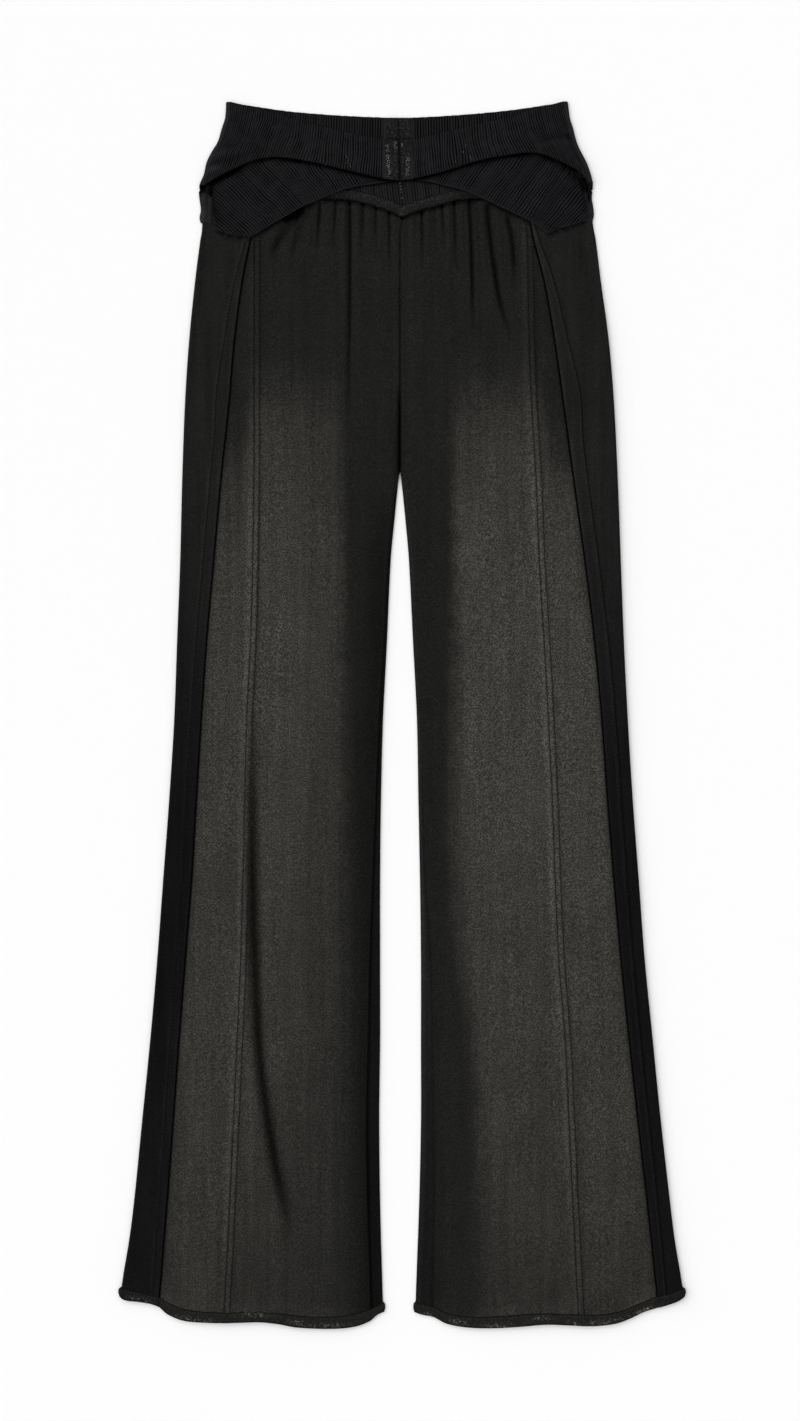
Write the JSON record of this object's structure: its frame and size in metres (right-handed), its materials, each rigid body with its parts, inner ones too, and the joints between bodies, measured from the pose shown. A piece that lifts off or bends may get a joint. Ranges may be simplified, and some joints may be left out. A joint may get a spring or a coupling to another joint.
{
  "type": "palazzo pants",
  "caption": "Wide-leg trousers laid flat, front up: panelled legs with dark sides and faded fronts, a ribbed wrap-over waistband with pointed hip flaps, and turned hems.",
  "frame": {"origin": "middle of the footprint, on the surface that the trousers lie on", "axes": "+X to the wearer's left, +Y up the legs to the waist, +Z out of the front, away from the surface"},
  "size_m": [0.5402, 1.1664, 0.0097],
  "materials": {
    "washed_denim": "washed, matt",
    "side_cloth": "matt",
    "rib_knit": "ribbed, soft sheen",
    "hem_cloth": "matt",
    "tape": "woven, soft sheen"
  },
  "bodies": {
    "root": {"front_panel_left": "washed_denim", "front_side_panel_left": "washed_denim", "side_panel_left": "side_cloth", "back_panel_left": "side_cloth", "hem_left": "hem_cloth", "side_hem_left": "hem_cloth", "band_left": "rib_knit", "front_tape_left": "tape", "back_tape_left": "tape", "flap_left": "rib_knit", "yoke_left": "rib_knit", "piping_left": "tape", "back_yoke_left": "rib_knit", "front_panel_right": "washed_denim", "front_side_panel_right": "washed_denim", "side_panel_right": "side_cloth", "back_panel_right": "side_cloth", "hem_right": "hem_cloth", "side_hem_right": "hem_cloth", "band_right": "rib_knit", "front_tape_right": "tape", "back_tape_right": "tape", "flap_right": "rib_knit", "yoke_right": "rib_knit", "piping_right": "tape", "back_yoke_right": "rib_knit"}
  },
  "joints": []
}
